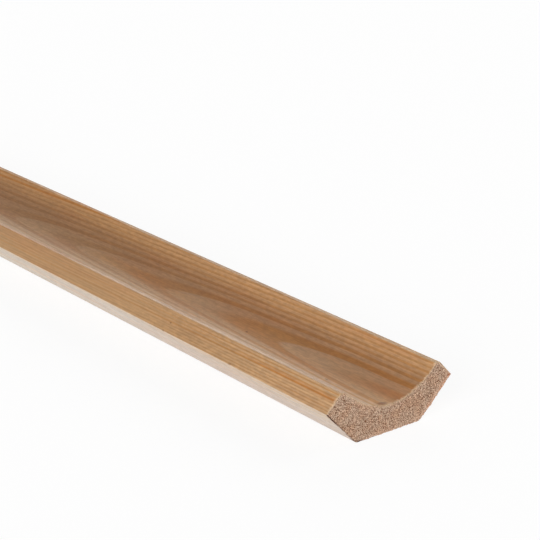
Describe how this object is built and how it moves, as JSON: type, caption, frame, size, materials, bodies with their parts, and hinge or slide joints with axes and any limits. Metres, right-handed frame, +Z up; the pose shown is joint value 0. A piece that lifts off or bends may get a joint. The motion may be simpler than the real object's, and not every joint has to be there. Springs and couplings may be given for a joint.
{
  "type": "cove moulding",
  "caption": "Sprung cove moulding of solid pine: hollow front, square lips and 45-degree seats for the corner between wall and ceiling. Sawn square at both ends.",
  "frame": {"origin": "middle of the flat back, halfway along the stock", "axes": "+X across the section, +Y along the stock, +Z up from the flat back towards the hollow front"},
  "size_m": [0.043, 2.4, 0.015],
  "materials": {
    "pine": "bare planed pine, ends sawn"
  },
  "bodies": {
    "root": {"cove_moulding": "pine"}
  },
  "joints": []
}
